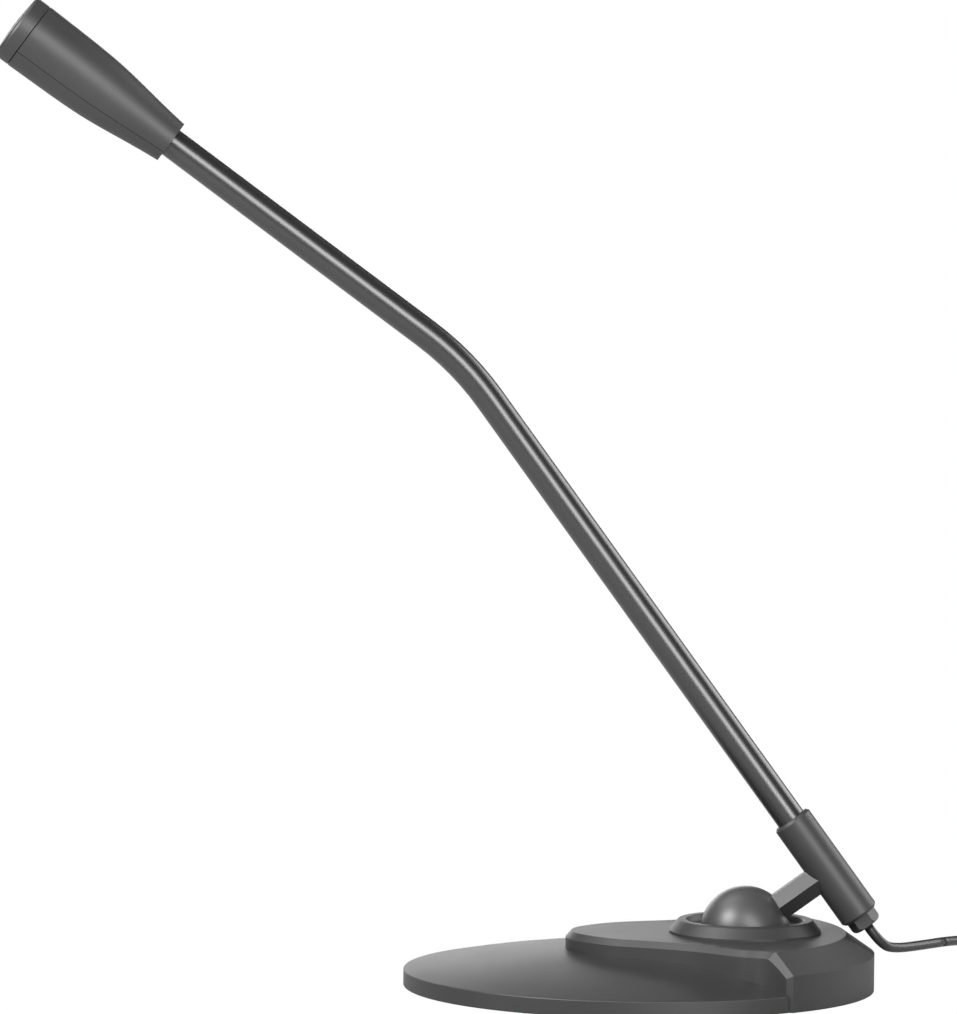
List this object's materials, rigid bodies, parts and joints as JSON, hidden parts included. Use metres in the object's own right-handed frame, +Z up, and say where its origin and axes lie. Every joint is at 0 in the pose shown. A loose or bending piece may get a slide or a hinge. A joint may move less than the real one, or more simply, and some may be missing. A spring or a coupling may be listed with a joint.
{
  "type": "gooseneck desk microphone",
  "caption": "Desk microphone: a bent stem on a ball joint over a weighted round base, with a tapered head, a thin cable and a jack plug.",
  "frame": {"origin": "the base's centre on the table, in the pad's bottom face", "axes": "+Z up, +X to the rear, away from the talker; the arm lies in the XZ plane and leans to -X"},
  "size_m": [0.2987, 0.2036, 0.2465],
  "materials": {
    "black_plastic": "fine moulded grain, satin",
    "ball_plastic": "smooth satin",
    "stem_enamel": "smooth semi-gloss black enamel",
    "steel": "plain",
    "zinc_screw": "zinc plated",
    "pad_rubber": "matte foam rubber",
    "boot_rubber": "soft rubber",
    "cord_pvc": "soft PVC",
    "plug_plastic": "moulded",
    "contact_plating": "nickel plated",
    "insulator": "plain",
    "foam": "open foam",
    "capsule_can": "plain"
  },
  "bodies": {
    "base": {"base_disc": "black_plastic", "top_housing": "black_plastic", "ballast_plate": "steel", "bottom_cover": "black_plastic", "cover_screws": "zinc_screw", "antislip_pad": "pad_rubber", "socket_ring": "black_plastic", "disc_spring": "steel", "spring_plate": "steel", "plate_screws": "zinc_screw", "cord_run": "cord_pvc", "cord_coil": "cord_pvc", "coil_tie": "plug_plastic", "plug_lead": "cord_pvc", "plug_boot": "plug_plastic", "plug_body": "plug_plastic", "jack_sleeve": "contact_plating", "jack_ring": "contact_plating", "jack_insulators": "insulator", "jack_tip": "contact_plating"},
    "ball_cup": {"pressure_cup": "black_plastic"},
    "ball": {"ball": "ball_plastic"},
    "arm": {"hex_rod": "ball_plastic", "ball_screw": "zinc_screw", "barrel": "black_plastic", "gland_nut": "black_plastic", "stem_tube": "stem_enamel", "stem_lead": "cord_pvc", "stem_collar": "black_plastic", "head_shell_lower": "black_plastic", "head_shell_upper": "black_plastic", "head_cap": "black_plastic", "wind_foam": "foam", "mic_capsule": "capsule_can", "capsule_boot": "boot_rubber"}
  },
  "joints": [
    {"name": "ball_pan", "type": "hinge", "parent": "base", "child": "ball_cup", "pos_m": [0.0267, 0, 0.0149], "axis": [0, 0, 1], "range_deg": [-30, 30]},
    {"name": "ball_tilt", "type": "hinge", "parent": "ball_cup", "child": "ball", "pos_m": [0.0267, 0, 0.0149], "axis": [0, -1, 0], "range_deg": [0, 45], "deforming": ["cord_run"]},
    {"name": "ball_roll", "type": "hinge", "parent": "ball", "child": "arm", "pos_m": [0.0267, 0, 0.0149], "axis": [0.807, 0, 0.5906], "range_deg": [-40, 40]}
  ]
}
